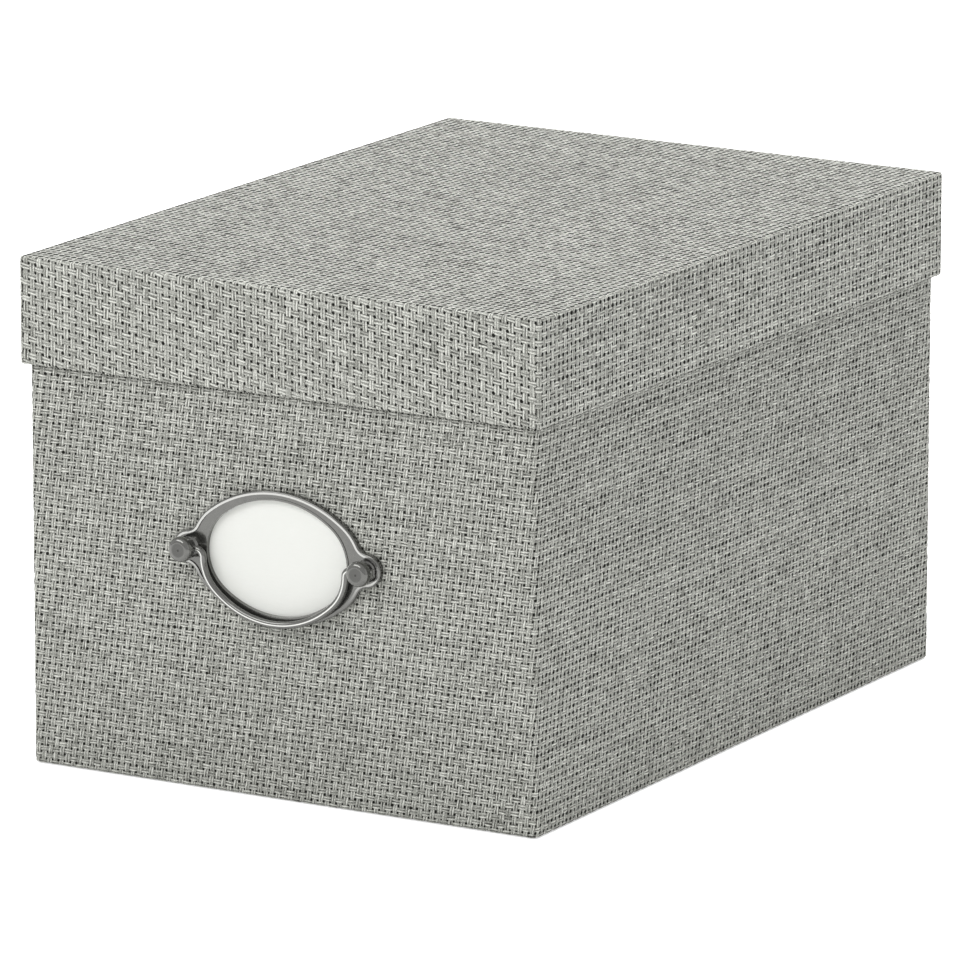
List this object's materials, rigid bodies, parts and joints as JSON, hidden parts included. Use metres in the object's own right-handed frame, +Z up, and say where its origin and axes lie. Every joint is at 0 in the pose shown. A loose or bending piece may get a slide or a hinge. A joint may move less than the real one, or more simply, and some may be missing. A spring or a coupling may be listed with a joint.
{
  "type": "storage box",
  "caption": "Rectangular board storage box covered in woven cloth, with a lift-off lid, and an oval label frame with a drop bail on the front.",
  "frame": {"origin": "middle of the underside of the base, on the surface the box stands on", "axes": "+Z up, -Y towards the label, +X to the right as the label is seen"},
  "size_m": [0.177, 0.2566, 0.1545],
  "materials": {
    "greyboard": "matte",
    "tape_paper": "matte",
    "woven_cover": "matte",
    "lining_paper": "matte",
    "coated_steel": "satin",
    "bare_steel": "satin",
    "card_stock": "matte"
  },
  "bodies": {
    "tray": {"base_board": "greyboard", "front_board": "greyboard", "rear_board": "greyboard", "left_board": "greyboard", "right_board": "greyboard", "corner_tapes": "tape_paper", "body_wrap": "woven_cover", "body_lining": "lining_paper", "floor_lining": "lining_paper", "base_paper": "lining_paper", "label_frame": "coated_steel", "label_card": "card_stock", "left_post": "coated_steel", "right_post": "coated_steel", "rivet_washers": "bare_steel"},
    "lid": {"lid_top_board": "greyboard", "lid_front_board": "greyboard", "lid_rear_board": "greyboard", "lid_left_board": "greyboard", "lid_right_board": "greyboard", "lid_corner_tapes": "tape_paper", "lid_wrap": "woven_cover", "lid_lining": "lining_paper"},
    "bail": {"bail_handle": "coated_steel"}
  },
  "joints": [
    {"name": "lid_lift", "type": "slide", "parent": "tray", "child": "lid", "axis": [0, 0, 1], "range_m": [0, 0.08]},
    {"name": "bail_swing", "type": "hinge", "parent": "tray", "child": "bail", "pos_m": [0, -0.1268, 0.0735], "axis": [-1, 0, 0], "range_deg": [0, 180]}
  ]
}
